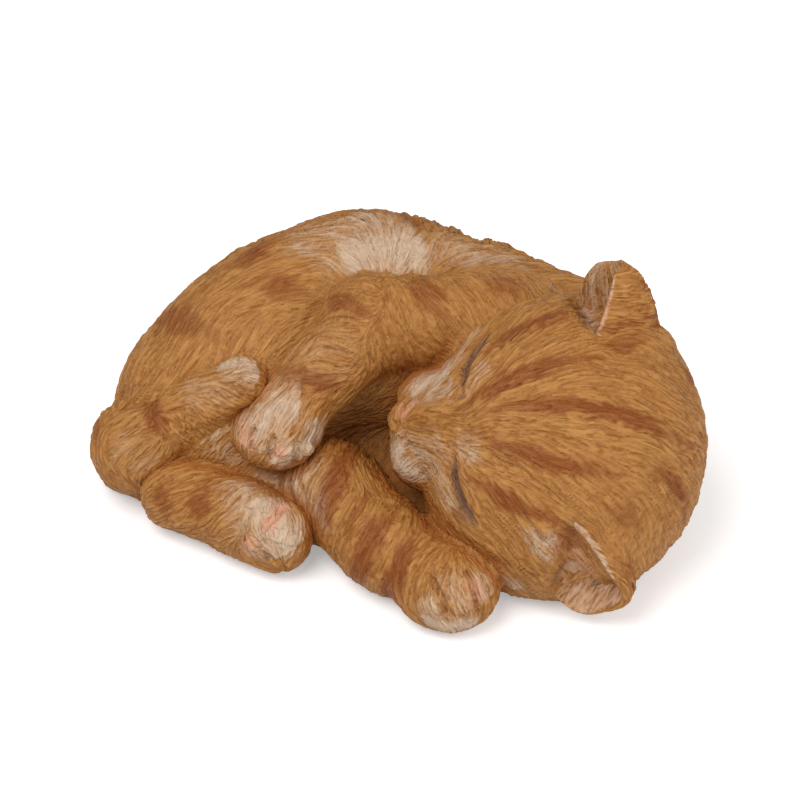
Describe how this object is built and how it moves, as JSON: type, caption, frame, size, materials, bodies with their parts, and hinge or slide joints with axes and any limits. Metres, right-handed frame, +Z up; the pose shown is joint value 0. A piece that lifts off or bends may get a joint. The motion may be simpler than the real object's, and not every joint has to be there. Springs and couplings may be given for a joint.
{
  "type": "sleeping cat figurine",
  "caption": "Painted cast ornament of a ginger tabby kitten curled up asleep on its side, with a felt pad underneath to rest on a shelf.",
  "frame": {"origin": "on the underside of the felt pad, under the middle of the curled body", "axes": "+Z up from the surface it rests on, +X towards the back of the kitten's head, the kitten's spine on the +Y side and its paws on the -Y side"},
  "size_m": [0.1551, 0.1185, 0.0701],
  "materials": {
    "ginger_fur_paint": "cast resin with a modelled fur texture, dry-brushed in golden orange with brown stripes and cream patches, satin lacquer",
    "black_board": "flat black board",
    "brown_felt": "thin dark brown felt",
    "beech": "plain turned dowel",
    "pin_steel": "plain cut wire"
  },
  "bodies": {
    "root": {"body_shell": "ginger_fur_paint", "head": "ginger_fur_paint", "right_ear": "ginger_fur_paint", "left_ear": "ginger_fur_paint", "right_foreleg": "ginger_fur_paint", "left_foreleg": "ginger_fur_paint", "right_hind_leg": "ginger_fur_paint", "left_hind_leg": "ginger_fur_paint", "tail": "ginger_fur_paint", "base_plate": "black_board", "felt_pad": "brown_felt", "neck_dowel": "beech", "right_foreleg_pin": "pin_steel", "left_foreleg_pin": "pin_steel", "right_hind_leg_pin": "pin_steel", "left_hind_leg_pin": "pin_steel", "tail_pin": "pin_steel"}
  },
  "joints": []
}
